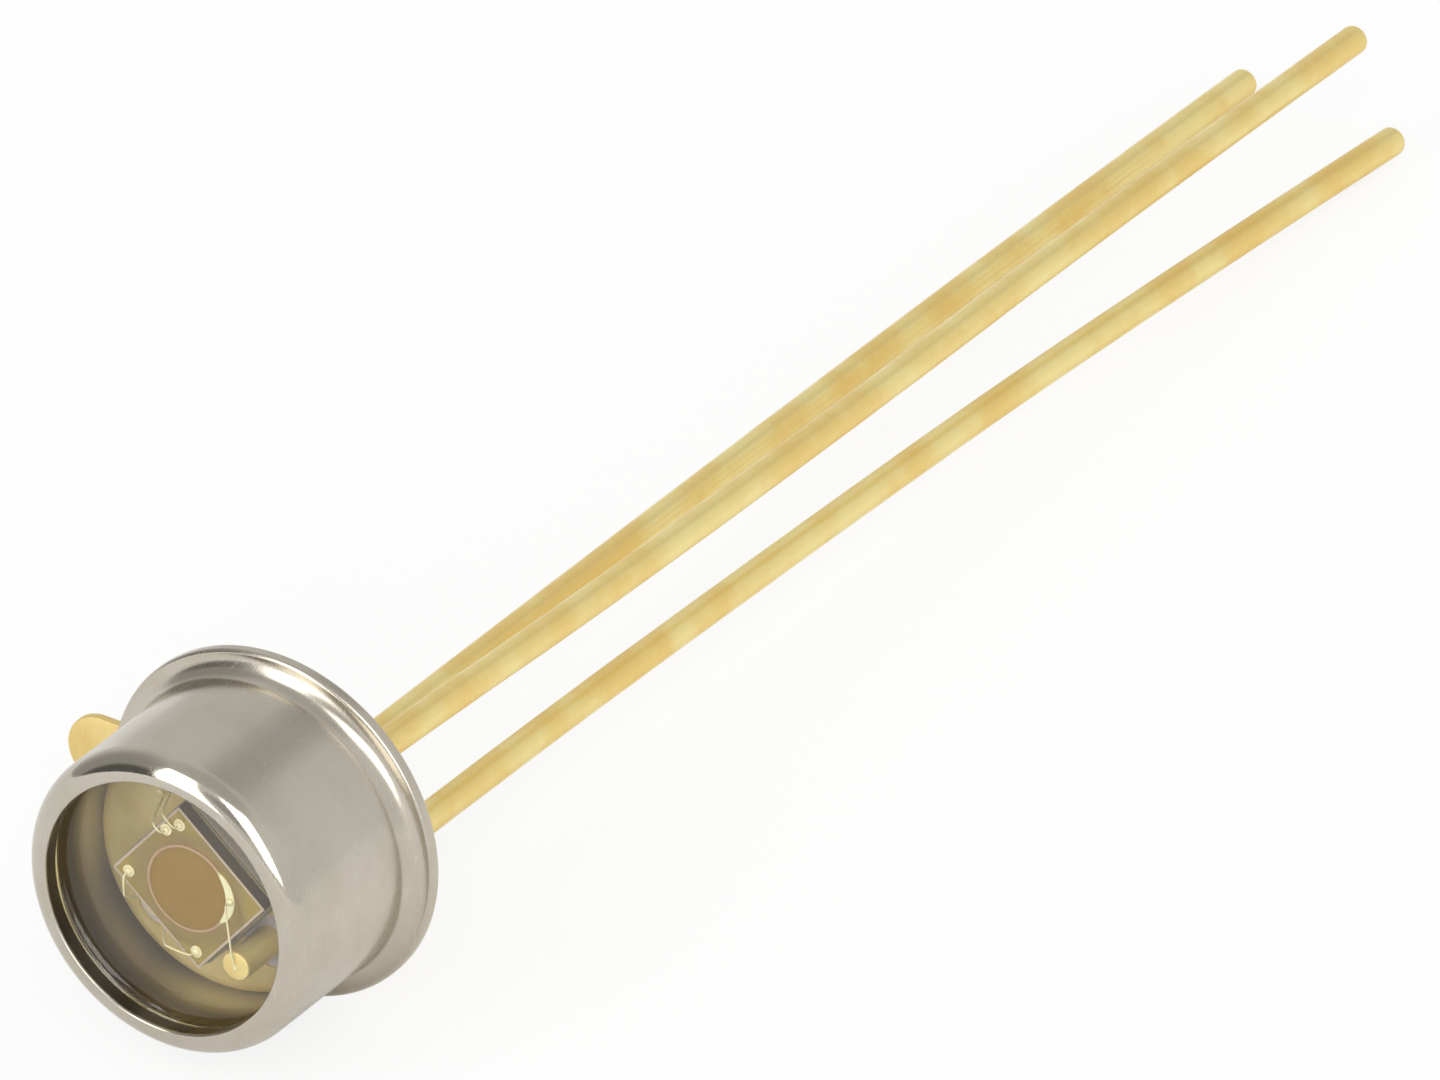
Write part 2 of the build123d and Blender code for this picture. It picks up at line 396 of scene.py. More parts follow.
def speckle(tree, place, scale, detail=3.0, roughness=0.55):
    """A Noise node at a scale in marks per millimetre."""
    made = node(tree, "ShaderNodeTexNoise")
    made.inputs["Scale"].default_value = scale
    made.inputs["Detail"].default_value = detail
    made.inputs["Roughness"].default_value = roughness
    tree.links.new(place, made.inputs["Vector"])
    return made.outputs["Fac"]


def new_group(name, inputs, outputs):
    """An empty node group with named inputs (name, kind, value) and outputs (name, kind)."""
    tree = bpy.data.node_groups.new(name, "ShaderNodeTree")
    for label, kind, value in inputs:
        tree.interface.new_socket(label, in_out="INPUT", socket_type="NodeSocket" + kind).default_value = value
    for label, kind in outputs:
        tree.interface.new_socket(label, in_out="OUTPUT", socket_type="NodeSocket" + kind)
    given = tree.nodes.new("NodeGroupInput")
    result = tree.nodes.new("NodeGroupOutput")
    print("node group:", name)
    return tree, given.outputs, result.inputs


def use_group(tree, group, **values):
    """Places a group in a material; the values are numbers, colours or sockets."""
    made = node(tree, "ShaderNodeGroup", node_tree=group)
    for name, value in values.items():
        socket = made.inputs[name.replace("_", " ")]
        if isinstance(value, (int, float, tuple)):
            socket.default_value = value
        else:
            tree.links.new(value, socket)
    return made.outputs


# %% Group: the place of a point on the upright part
PLACE, place_in, place_out = new_group(
    "place on the part", [], [("Place", "Vector"), ("Radius", "Float"), ("Angle", "Float"), ("Height", "Float")])
point = node(PLACE, "ShaderNodeTexCoord").outputs["Object"]
inverse = LIE_DOWN.inverted()
upright = []
for row in range(3):
    dot = node(PLACE, "ShaderNodeVectorMath", operation="DOT_PRODUCT")
    PLACE.links.new(point, dot.inputs[0])
    dot.inputs[1].default_value = inverse[row][:3]
    upright.append(dot.outputs["Value"])
joined = node(PLACE, "ShaderNodeCombineXYZ")
for socket, value in zip(joined.inputs, upright):
    PLACE.links.new(value, socket)
square = calculate(PLACE, "ADD", calculate(PLACE, "POWER", upright[0], 2.0), calculate(PLACE, "POWER", upright[1], 2.0))
PLACE.links.new(joined.outputs[0], place_out["Place"])
PLACE.links.new(calculate(PLACE, "SQRT", square), place_out["Radius"])
PLACE.links.new(calculate(PLACE, "ARCTAN2", upright[1], upright[0]), place_out["Angle"])
PLACE.links.new(upright[2], place_out["Height"])

# %% Group: plated grain
GRAIN, grain_in, grain_out = new_group(
    "plated grain",
    [("Colour", "Color", (0.8, 0.8, 0.8, 1)), ("Second colour", "Color", (0.7, 0.7, 0.7, 1)),
     ("Rough low", "Float", 0.2), ("Rough high", "Float", 0.35), ("Grain", "Float", 40.0), ("Patch", "Float", 1.5)],
    [("Colour", "Color"), ("Roughness", "Float"), ("Height", "Float")])
grain_place = use_group(GRAIN, PLACE)["Place"]
patches = node(GRAIN, "ShaderNodeTexNoise")
GRAIN.links.new(grain_place, patches.inputs["Vector"])
GRAIN.links.new(grain_in["Patch"], patches.inputs["Scale"])
patches.inputs["Detail"].default_value = 4.0
fine = node(GRAIN, "ShaderNodeTexNoise")
GRAIN.links.new(grain_place, fine.inputs["Vector"])
GRAIN.links.new(grain_in["Grain"], fine.inputs["Scale"])
patch_share = spread(GRAIN, patches.outputs["Fac"], 0.35, 0.65)
GRAIN.links.new(blend(GRAIN, patch_share, grain_in["Colour"], grain_in["Second colour"]), grain_out["Colour"])
rough_share = calculate(GRAIN, "ADD", calculate(GRAIN, "MULTIPLY", patch_share, 0.7),
                        calculate(GRAIN, "MULTIPLY", fine.outputs["Fac"], 0.3), clamp=True)
GRAIN.links.new(spread(GRAIN, rough_share, 0.0, 1.0, grain_in["Rough low"], grain_in["Rough high"], False),
                grain_out["Roughness"])
GRAIN.links.new(fine.outputs["Fac"], grain_out["Height"])

# %% Group: hairline handling marks
HAIRLINES, hair_in, hair_out = new_group(
    "handling marks", [("Scale", "Float", 1.2), ("Amount", "Float", 0.5)], [("Mask", "Float")])
hair_place = use_group(HAIRLINES, PLACE)["Place"]
masks = []
for turn, stretch in ((25.0, 26.0), (-50.0, 34.0), (80.0, 22.0)):
    mapping = node(HAIRLINES, "ShaderNodeMapping")
    mapping.inputs["Rotation"].default_value = (math.radians(turn), math.radians(turn / 2), math.radians(turn))
    mapping.inputs["Scale"].default_value = (stretch, 1.0, stretch)
    HAIRLINES.links.new(hair_place, mapping.inputs["Vector"])
    hairs = node(HAIRLINES, "ShaderNodeTexNoise")
    hairs.inputs["Detail"].default_value = 1.0
    HAIRLINES.links.new(mapping.outputs[0], hairs.inputs["Vector"])
    HAIRLINES.links.new(hair_in["Scale"], hairs.inputs["Scale"])
    masks.append(spread(HAIRLINES, hairs.outputs["Fac"], 0.68, 0.74))
most = calculate(HAIRLINES, "MAXIMUM", calculate(HAIRLINES, "MAXIMUM", masks[0], masks[1]), masks[2])
HAIRLINES.links.new(calculate(HAIRLINES, "MULTIPLY", most, hair_in["Amount"]), hair_out["Mask"])

# %% Start a material
def new_material(name, **plain):
    """A material with one main shader; plain values are set straight on its sockets."""
    material = bpy.data.materials.new(name)
    material.use_nodes = True
    tree = material.node_tree
    shader = tree.nodes["Principled BSDF"]
    for label, value in plain.items():
        shader.inputs[label.replace("_", " ")].default_value = value
    print("material:", name)
    return material, tree, shader


def bump(tree, shader, height, depth, strength=1.0):
    """A fine relief, its depth in millimetres."""
    relief = node(tree, "ShaderNodeBump")
    relief.inputs["Strength"].default_value = strength
    relief.inputs["Distance"].default_value = depth * MM
    tree.links.new(height, relief.inputs["Height"])
    tree.links.new(relief.outputs[0], shader.inputs["Normal"])


# %% [markdown]
# ## Nickel
# The cap is drawn from thin sheet and nickel-plated. The tool leaves the wall satin, with very faint lines
# round it, while its rims are burnished by tumbling and shine more. The metal itself is a warm grey. The
# lines are noise that is squeezed along the height, so they run round the can.
# Inside the cap, the darker colour is painted shade, and the gold tint at the foot of the wall is a painted reflection
# of the platform.

# %% Nickel
CAP_R = 2.35
nickel, tree, shader = new_material("nickel plate", Metallic=1.0)
place = use_group(tree, PLACE)
grain = use_group(tree, GRAIN, Colour=colour(199, 192, 179), Second_colour=colour(192, 185, 171),
                  Rough_low=0.07, Rough_high=0.11, Grain=34.0, Patch=1.1)
hair = use_group(tree, HAIRLINES, Scale=1.3, Amount=0.7)["Mask"]
around_wall = node(tree, "ShaderNodeCombineXYZ")
tree.links.new(calculate(tree, "MULTIPLY", place["Height"], 38.0), around_wall.inputs[2])
tree.links.new(place["Angle"], around_wall.inputs[0])
drawing_lines = speckle(tree, around_wall.outputs[0], 1.0, 2.0)
on_wall = spread(tree, place["Radius"], CAP_R - 0.02, CAP_R - 0.005)
inside = calculate(tree, "MULTIPLY", spread(tree, place["Radius"], 2.13, 2.11), spread(tree, place["Height"], 3.06, 3.04))
satin = calculate(tree, "ADD", calculate(tree, "MULTIPLY", on_wall, 0.12), calculate(tree, "MULTIPLY", inside, 0.20))
rough = calculate(tree, "ADD", grain["Roughness"], satin)
rough = calculate(tree, "ADD", rough, calculate(tree, "MULTIPLY", hair, 0.12), clamp=True)
metal = blend(tree, hair, grain["Colour"], colour(206, 200, 188))
# Inside the cap the colour is painted far darker: painted shade on the inner wall, where little light gets in.
metal = blend(tree, inside, metal, colour(96, 90, 80))
# At the foot of the inner wall a pale gold with less metal is blended in: a painted reflection of the gold platform
# beside it, kept weaker on the side where the wall lies in shade.
foot = calculate(tree, "MULTIPLY", inside, spread(tree, place["Height"], 2.14, 1.62))
from_shaded_side = calculate(tree, "ABSOLUTE", calculate(tree, "ADD", place["Angle"], math.radians(133)))
painted_gold_reflection = calculate(tree, "MULTIPLY", foot, spread(tree, from_shaded_side, math.radians(14), math.radians(50), 0.37, 1.0))
tree.links.new(blend(tree, painted_gold_reflection, metal, colour(206, 190, 128)), shader.inputs["Base Color"])
tree.links.new(spread(tree, painted_gold_reflection, 0.0, 1.0, 1.0, 0.4), shader.inputs["Metallic"])
tree.links.new(rough, shader.inputs["Roughness"])
height = calculate(tree, "ADD", calculate(tree, "MULTIPLY", drawing_lines, 0.5), grain["Height"])
bump(tree, shader, height, 0.002, 0.22)

# %% [markdown]
# ## Gold
# Header, tab and leads are plated with soft, slightly matt gold. Loose parts rub against each other in the
# plating barrel, so the gold varies from lemon to a deeper yellow in soft patches. The bond pads and wires
# are bare bright gold.

# %% Gold plate and bare gold
def gold(name, pale, deep, rough_low, rough_high, grain_scale, patch_scale, relief):
    material, tree, shader = new_material(name)
    height = use_group(tree, PLACE)["Height"]
    tree.links.new(spread(tree, height, 0.5, 0.7, 0.82, 0.42), shader.inputs["Metallic"])
    grain = use_group(tree, GRAIN, Colour=pale, Second_colour=deep, Rough_low=rough_low, Rough_high=rough_high,
                      Grain=grain_scale, Patch=patch_scale)
    hair = use_group(tree, HAIRLINES, Scale=1.6, Amount=0.5)["Mask"]
    tree.links.new(blend(tree, hair, grain["Colour"], colour(246, 226, 160)), shader.inputs["Base Color"])
    tree.links.new(calculate(tree, "ADD", grain["Roughness"], calculate(tree, "MULTIPLY", hair, 0.1), clamp=True),
                   shader.inputs["Roughness"])
    bump(tree, shader, grain["Height"], relief, 0.4)
    return material


gold_plate = gold("gold plate", colour(246, 228, 158), colour(240, 210, 130), 0.30, 0.42, 26.0, 0.9, 0.003)
header_gold = gold("matt header gold", colour(238, 214, 148), colour(230, 202, 130), 0.42, 0.52, 22.0, 1.4, 0.004)
bare_gold = gold("bare gold", colour(255, 246, 204), colour(252, 238, 188), 0.48, 0.58, 60.0, 8.0, 0.001)
# The carrier's land gets a dull, dark gold: painted shade, for this thin land lies in shadow under the chip's edge.
shaded_land_gold = gold("carrier land gold", colour(160, 140, 98), colour(148, 128, 88), 0.35, 0.48, 30.0, 4.0, 0.002)
braze = gold("gold braze", colour(224, 196, 118), colour(206, 174, 98), 0.2, 0.32, 22.0, 4.0, 0.004)
solder = gold("matt solder", colour(190, 176, 132), colour(172, 160, 128), 0.38, 0.5, 30.0, 3.0, 0.006)

# %% [markdown]
# ## Glass
# The window is clear ground glass. Light has to come through it onto the chip, and a plain glass shader would
# cast a solid shadow, so the glass counts as transparent to shadow rays. The beads that seal the leads are
# milky grey glass with a smooth, fused skin, and the frit round the window is darker.

# %% Window glass
window_glass, tree, shader = new_material(
    "window glass", Base_Color=(0.97, 0.98, 0.97, 1), Metallic=0.0, IOR=1.48, Transmission_Weight=1.0)
smear = speckle(tree, use_group(tree, PLACE)["Place"], 1.4, 4.0)
tree.links.new(spread(tree, smear, 0.45, 0.8, 0.0, 0.05), shader.inputs["Roughness"])
clear = node(tree, "ShaderNodeBsdfTransparent")
clear.inputs["Color"].default_value = (0.93, 0.94, 0.93, 1)
paths = node(tree, "ShaderNodeLightPath")
mixed = node(tree, "ShaderNodeMixShader")
tree.links.new(paths.outputs["Is Shadow Ray"], mixed.inputs[0])
tree.links.new(shader.outputs[0], mixed.inputs[1])
tree.links.new(clear.outputs[0], mixed.inputs[2])
tree.links.new(mixed.outputs[0], tree.nodes["Material Output"].inputs["Surface"])


# %% Milky glass, ceramic and other plain-bodied materials
def fired(name, pale, dark, rough_low, rough_high, scale, relief, coat=0.0):
    """Glass, frit or ceramic: a body colour with soft clouds, specks and a fused or matt skin."""
    material, tree, shader = new_material(name, Metallic=0.0, Coat_Weight=coat)
    place = use_group(tree, PLACE)["Place"]
    clouds = spread(tree, speckle(tree, place, scale, 5.0), 0.3, 0.7)
    specks = spread(tree, speckle(tree, place, scale * 9, 1.0), 0.62, 0.7)
    body = blend(tree, clouds, pale, dark)
    tree.links.new(blend(tree, calculate(tree, "MULTIPLY", specks, 0.3), body, dark), shader.inputs["Base Color"])
    tree.links.new(spread(tree, clouds, 0.0, 1.0, rough_low, rough_high), shader.inputs["Roughness"])
    bump(tree, shader, speckle(tree, place, scale * 4), relief, 0.5)
    return material


seal_glass = fired("seal glass", colour(214, 202, 200), colour(190, 178, 178), 0.10, 0.20, 5.0, 0.004, 0.4)
frit = fired("dark frit", colour(112, 106, 98), colour(84, 80, 74), 0.25, 0.4, 7.0, 0.004, 0.2)
ceramic = fired("white ceramic", colour(188, 178, 160), colour(170, 160, 146), 0.55, 0.7, 14.0, 0.003)

# %% [markdown]
# ## The chip's films
# A chip like this is polished and covered with films so thin that their colour comes from interference. The
# round active area is golden brown, and the ground around it is a duller brown with a purple cast, a little
# yellower beside the pads. Pale lines along the edges are the bare streets where the saw ran. All of this is
# drawn from the distance to the chip's own edges.

# %% Sizes of the chip
CHIP_ANGLE = -38.5
CHIP_U = 1.87
CHIP_W = 1.74
CHIP_T = 0.21
CHIP_FACE = 2.27
STREET = 0.035


def chip_place(tree):
    """The place on the part turned to the chip's own two sides."""
    turned = node(tree, "ShaderNodeVectorRotate", rotation_type="Z_AXIS")
    turned.inputs["Angle"].default_value = math.radians(-CHIP_ANGLE)
    tree.links.new(use_group(tree, PLACE)["Place"], turned.inputs["Vector"])
    parts = node(tree, "ShaderNodeSeparateXYZ")
    tree.links.new(turned.outputs[0], parts.inputs[0])
    return turned.outputs[0], parts.outputs


# %% Chip
chip, tree, shader = new_material("polished chip", Coat_Weight=0.12, Coat_Roughness=0.05)
turned, (u, w, up) = chip_place(tree)
to_u_edge = calculate(tree, "SUBTRACT", CHIP_U / 2, calculate(tree, "ABSOLUTE", u))
to_w_edge = calculate(tree, "SUBTRACT", CHIP_W / 2, calculate(tree, "ABSOLUTE", w))
to_edge = calculate(tree, "MINIMUM", to_u_edge, to_w_edge)
street = spread(tree, to_edge, STREET, STREET * 1.25, 1.0, 0.0)
clouds = spread(tree, speckle(tree, turned, 1.3, 2.0), 0.35, 0.65)
film = blend(tree, clouds, colour(152, 126, 56), colour(146, 121, 70))
corner_glow = spread(tree, calculate(tree, "ADD", calculate(tree, "ABSOLUTE", u), calculate(tree, "ABSOLUTE", w)),
                     1.05, 1.5)
film = blend(tree, calculate(tree, "MULTIPLY", corner_glow, 0.6), film, colour(178, 154, 58))
top_colour = blend(tree, street, film, colour(188, 170, 150))
# The sawn sides are blended to a dark brown: partly bare silicon, darker than the filmed face, and partly painted shade
# for the shadowed sides.
sawn_side = spread(tree, up, CHIP_FACE - 0.004, CHIP_FACE - 0.010)
tree.links.new(blend(tree, sawn_side, top_colour, colour(94, 82, 64)), shader.inputs["Base Color"])
tree.links.new(calculate(tree, "MULTIPLY", calculate(tree, "SUBTRACT", 1.0, street), 0.55),
               shader.inputs["Metallic"])
tree.links.new(calculate(tree, "ADD", calculate(tree, "MULTIPLY", street, 0.25), 0.16), shader.inputs["Roughness"])
bump(tree, shader, calculate(tree, "SUBTRACT", 1.0, street), 0.004, 0.6)

# %% Active area
active_film, tree, shader = new_material("golden film", Coat_Weight=0.12, Coat_Roughness=0.04)
place = use_group(tree, PLACE)
drift = spread(tree, speckle(tree, place["Place"], 0.8, 1.0), 0.3, 0.7)
film = blend(tree, drift, colour(155, 119, 26), colour(149, 111, 20))
rim = spread(tree, place["Radius"], 0.56, 0.635)
tree.links.new(blend(tree, calculate(tree, "MULTIPLY", rim, 0.4), film, colour(140, 103, 22)),
               shader.inputs["Base Color"])
shader.inputs["Metallic"].default_value = 0.55
tree.links.new(spread(tree, drift, 0.0, 1.0, 0.12, 0.18), shader.inputs["Roughness"])

# %% Metal of the ring: pinkish where it is narrow, pale yellow on the landing
ring_metal, tree, shader = new_material("ring metal", Metallic=0.6)
turned, (u, w, up) = chip_place(tree)
LANDING_TURN = math.radians(41.5)
towards_landing = calculate(tree, "ADD", calculate(tree, "MULTIPLY", u, math.cos(LANDING_TURN)),
                            calculate(tree, "MULTIPLY", w, math.sin(LANDING_TURN)))
landing_share = spread(tree, towards_landing, 0.50, 0.57)
worn = speckle(tree, turned, 30.0)
tree.links.new(blend(tree, landing_share, colour(196, 162, 128), colour(255, 248, 204)), shader.inputs["Base Color"])
tree.links.new(calculate(tree, "ADD", calculate(tree, "MULTIPLY", worn, 0.15), 0.40), shader.inputs["Roughness"])

# %% [markdown]
# ## Header
# The header is drawn like a shallow pot: a thin round flange with an index tab, and a platform with a broad
# round shoulder, which fills the cap and carries the chip. It is built as a stack of rings with as many points
# each, from the underside up, which keeps the tab's outline clean. The two flat faces are filled around the holes for the
# leads. Cutting the holes with a boolean would work too, but leaves ragged edges that spoil the reflections.

# %% The flange's outline with its tab
TAB_END = TAB_REACH - TAB_W / 2
TAB_BLEND = 0.06


def flange_outline():
    """Points round the flange and its tab, counter-clockwise from beside the tab."""
    half_tab = math.asin(TAB_W / 2 / FLANGE_R)
    rim = [half_tab + 0.02 + (2 * math.pi - 2 * half_tab - 0.04) * i / 210 for i in range(211)]
    points = [FLANGE_R * Vector((math.cos(a), math.sin(a))) for a in rim]
    reach = FLANGE_R * math.cos(half_tab) + TAB_BLEND
    points += [Vector((reach, -TAB_W / 2)), Vector((TAB_END, -TAB_W / 2))]
    nose = [-math.pi / 2 + math.pi * i / 28 for i in range(1, 28)]
    points += [Vector((TAB_END + TAB_W / 2 * math.cos(a), TAB_W / 2 * math.sin(a))) for a in nose]
    points += [Vector((TAB_END, TAB_W / 2)), Vector((reach, TAB_W / 2))]
    turn = Matrix.Rotation(math.radians(TAB_ANGLE), 2)
    return [turn @ p for p in points]


def at_radius(outline, radius):
    """A circle whose points lie at the same angles as the outline's."""
    return [p.normalized() * radius for p in outline]


# %% Build the header
SEAL_R = 0.42
BRAZE_R = 0.40
BRAZE_DEPTH = 0.45

bm = bmesh.new()
outer = flange_outline()
rings = [ring_at(bm, drawn_in(outer, inset), level) for inset, level in (
    (FLANGE_EDGE, 0.0), (FLANGE_EDGE * 0.3, FLANGE_EDGE * 0.3), (0.0, FLANGE_EDGE),
    (0.0, FLANGE_T - FLANGE_EDGE), (FLANGE_EDGE * 0.3, FLANGE_T - FLANGE_EDGE * 0.3), (FLANGE_EDGE, FLANGE_T))]
steps = [(PLATFORM_R, FLANGE_T)]
for step in range(17):
    turn = math.pi / 2 * step / 16
    steps.append((PLATFORM_R - PLATFORM_SHOULDER * (1 - math.cos(turn)),
                  PLATFORM_H - PLATFORM_SHOULDER * (1 - math.sin(turn))))
rings += [ring_at(bm, at_radius(outer, radius), level) for radius, level in steps]
for lower, upper in zip(rings, rings[1:]):
    join_rings(bm, lower, upper)
holes_below = []
holes_above = []
for lead in (1, 2):
    hole = circle(SEAL_R, 64, polar(PITCH_R, LEAD_ANGLES[lead]))
    holes_below.append(ring_at(bm, hole, 0.0))
    holes_above.append(ring_at(bm, hole, PLATFORM_H))
    join_rings(bm, holes_above[-1], holes_below[-1])
blind = circle(BRAZE_R, 64, polar(PITCH_R, LEAD_ANGLES[3]))
holes_below.append(ring_at(bm, blind, 0.0))
blind_floor = ring_at(bm, blind, BRAZE_DEPTH)
join_rings(bm, blind_floor, holes_below[-1])
bm.faces.new(blind_floor)
fill_between(bm, rings[0], *holes_below)
fill_between(bm, rings[-1], *holes_above)
piece("gold_header", bm, header_gold, "gold", "header")

# %% [markdown]
# ## Cap
# The cap is one drawn shell of even thickness. Its outline goes up the outside of the weld flange, over the
# large front radius, round the thin lip of the opening and down the inside. It is spun, because every section
# through the axis is the same.

# %% Build the cap
CAP_WALL = 0.25
CAP_INNER_R = CAP_R - CAP_WALL
CAP_FLANGE_TOP = CAP_BASE + 0.20
LIP_UNDER = CAP_FRONT - CAP_WALL
APERTURE_R = 1.95

bm = bmesh.new()
spin(bm, rounded([
    (CAP_FLANGE_R, CAP_BASE, CAP_FLANGE_EDGE), (CAP_FLANGE_R, CAP_FLANGE_TOP, CAP_FLANGE_EDGE),
    (CAP_R, CAP_FLANGE_TOP, 0.28), (CAP_R, CAP_FRONT, 0.36), (APERTURE_R, CAP_FRONT, 0.03),
    (APERTURE_R, LIP_UNDER, 0), (CAP_INNER_R, LIP_UNDER, 0.04), (CAP_INNER_R, CAP_BASE, 0.10)], 14), 300)
piece("nickel_cap", bm, nickel, "nickel", "cap", corner=50)

# %% [markdown]
# ## Window and frit
# The window is a disc ground flat on both sides with a small chamfer, held under the lip by fused frit. The
# frit is a thin layer under the lip and a collar round the glass.

# %% Build the window and its frit
WINDOW_T = 0.30
WINDOW_R = CAP_INNER_R - 0.06
WINDOW_FRONT = LIP_UNDER - 0.03
WINDOW_BACK = WINDOW_FRONT - WINDOW_T
WINDOW_EDGE = 0.02
FRIT_INNER = APERTURE_R + 0.02
FRIT_LOW = WINDOW_FRONT - 0.18

bm = bmesh.new()
plate(bm, circle(WINDOW_R, 240), WINDOW_BACK, WINDOW_FRONT, WINDOW_EDGE)
piece("flat_window", bm, window_glass, "window_glass", "window")
bm = bmesh.new()
spin(bm, rounded([
    (FRIT_INNER, LIP_UNDER, 0), (CAP_INNER_R, LIP_UNDER, 0.04), (CAP_INNER_R, FRIT_LOW, 0.015),
    (WINDOW_R, FRIT_LOW, 0.015), (WINDOW_R, WINDOW_FRONT, 0), (FRIT_INNER, WINDOW_FRONT, 0)], 6), 240)
piece("window_frit", bm, frit, "frit", "window_seal")

# %% [markdown]
# ## Leads
# Three round wires were bent a little by hand. Each is led by a few points: how far below the header, and how
# far it has strayed sideways. Leads 1 and 2 run up through the header as posts for the bond wires; lead 3 ends
# in the braze. The cut ends were rounded in the plating barrel, and the wire's radius wavers by a few
# thousandths of a millimetre, which breaks up its long highlight.

# %% The route of each lead
LOW_POST = 1.70
HIGH_POST = 2.41
LEAD_3_TOP = 0.40
LEAD_1_LEVEL = REST_SLOPE * (LEAD_LENGTHS[1] - LEAD_TIP + REST_EDGE) - CAP_FLANGE_R
LEAD_1_DROP = LEAD_1_LEVEL + LEAD_R - PITCH_R * math.sin(math.radians(LEAD_ANGLES[1]))
LEAD_ROUTES = {
    1: (LOW_POST, ((17.5, 0.00, 0.00), (LEAD_LENGTHS[1], 0.24, LEAD_1_DROP))),
    2: (HIGH_POST, ((3.5, 0.00, 0.00), (12.0, 0.25, -0.01), (19.5, 0.57, -0.03),
                    (LEAD_LENGTHS[2], 1.19, LEAD_2_DROP))),
    3: (LEAD_3_TOP, ((1.2, 0.00, 0.00), (6.5, 0.17, -0.13), (13.5, 0.27, -0.21), (20.5, 0.31, -0.24),
                     (LEAD_LENGTHS[3], 0.43, -0.35))),
}


def lead_points(number):
    top, bends = LEAD_ROUTES[number]
    root = polar(PITCH_R, LEAD_ANGLES[number])
    return [Vector((root.x, root.y, top))] + [Vector((root.x + x, root.y + y, -depth)) for depth, x, y in bends]


# %% Build the leads
def end_rounding(distance, radius, tip):
    """The wire's radius at a distance from its end, where the edge is rounded by tip."""
    if distance >= tip:
        return radius
    return radius - tip + math.sqrt(max(0.0, tip ** 2 - (tip - distance) ** 2))


def lead_path(number):
    """Points a fifth of a millimetre apart, and closer at both ends."""
    middle = spaced(smooth_path(lead_points(number), 80), 0.2)
    first_way = (middle[1] - middle[0]).normalized()
    last_way = (middle[-1] - middle[-2]).normalized()
    close = [LEAD_TIP * share for share in (0.0, 0.03, 0.1, 0.2, 0.35, 0.55, 0.8, 1.0)]
    head = [middle[0] + first_way * d for d in close]
    tail = [middle[-1] - last_way * d for d in reversed(close)]
    inner = [p for p in middle if (p - middle[0]).length > 0.15 and (p - middle[-1]).length > 0.15]
    return head + inner + tail


for number in LEAD_ROUTES:
    path = lead_path(number)
    radii = []
    for p in path:
        wire_r = LEAD_R + 0.002 * noise.noise(Vector((0, number * 7.0, p.z * 0.9)))
        wire_r = end_rounding((p - path[-1]).length, wire_r, LEAD_TIP)
        radii.append(end_rounding((p - path[0]).length, wire_r, 0.03))
    bm = bmesh.new()
    tube(bm, path, radii, 48)
    piece(f"gold_lead_{number}", bm, gold_plate, "gold", f"lead_{number}")

# %% [markdown]
# ## Seals and braze
# Glass wets metal, so each bead's face dips and climbs both the lead and the wall of its hole. The braze of
# the third lead is a shallow fillet of the same kind, in gold.

# %% Build the seals and the braze
SEAL_RECESS = 0.05
SEAL_CLIMB = 0.03


def dished(inner, outer, base, top, climb, wall_climb=0.0):
    """An outline between a lead and a wall, whose two faces are hollow like a meniscus."""
    shares = [i / 12 for i in range(13)]
    upper = []
    for share in shares:
        rise = climb * (1 - share) ** 3 + wall_climb * share ** 3
        upper.append(Vector((inner + (outer - inner) * share, top + rise)))
    lower = [Vector((p.x, base - (p.y - top))) for p in upper]
    return lower + list(reversed(upper))


for number in (1, 2):
    bm = bmesh.new()
    spin(bm, dished(LEAD_R, SEAL_R, SEAL_RECESS, PLATFORM_H - SEAL_RECESS, SEAL_CLIMB, 0.02), 96,
         polar(PITCH_R, LEAD_ANGLES[number]))
    piece(f"seal_bead_{number}", bm, seal_glass, "seal_glass", f"glass_seal_{number}")
bm = bmesh.new()
spin(bm, [Vector((0.0, BRAZE_DEPTH)), Vector((0.0, LEAD_3_TOP)), Vector((LEAD_R, LEAD_3_TOP)), Vector((LEAD_R, 0.0)),
          Vector((LEAD_R + 0.05, 0.012)), Vector((LEAD_R + 0.12, 0.016)), Vector((BRAZE_R, 0.0)),
          Vector((BRAZE_R, BRAZE_DEPTH))], 96, polar(PITCH_R, LEAD_ANGLES[3]))
piece("case_lead_braze", bm, braze, "braze", "lead_3_braze")

# %% [markdown]
# ## The stack under the chip
# Solder, a white ceramic block, its gold land, more solder and the chip lie on each other like a sandwich.
# Each layer is the chip's outline grown by its own margin. Solder flows, so its outline wavers; the ceramic
# and the chip were sawn, so theirs are straight with small corners.

# %% Outlines turned to the chip
def chip_outline(margin, corner_radius, waver=0.0):
    """The chip's outline grown by a margin, counter-clockwise."""
    half_u = CHIP_U / 2 + margin
    half_w = CHIP_W / 2 + margin
    corners = [(half_u, half_w), (-half_u, half_w), (-half_u, -half_w), (half_u, -half_w)]
    outline = rounded([(x, y, corner_radius) for x, y in corners], 5)
    if waver:
        fine_outline = []
        for here, there in zip(outline, outline[1:] + outline[:1]):
            count = max(1, round((there - here).length / 0.05))
            fine_outline += [here.lerp(there, i / count) for i in range(count)]
        outline = [p - p.normalized() * waver * (0.5 + 0.5 * noise.noise(Vector((p.x * 4, p.y * 4, margin))))
                   for p in fine_outline]
    turn = Matrix.Rotation(math.radians(CHIP_ANGLE), 2)
    return [turn @ p for p in outline]


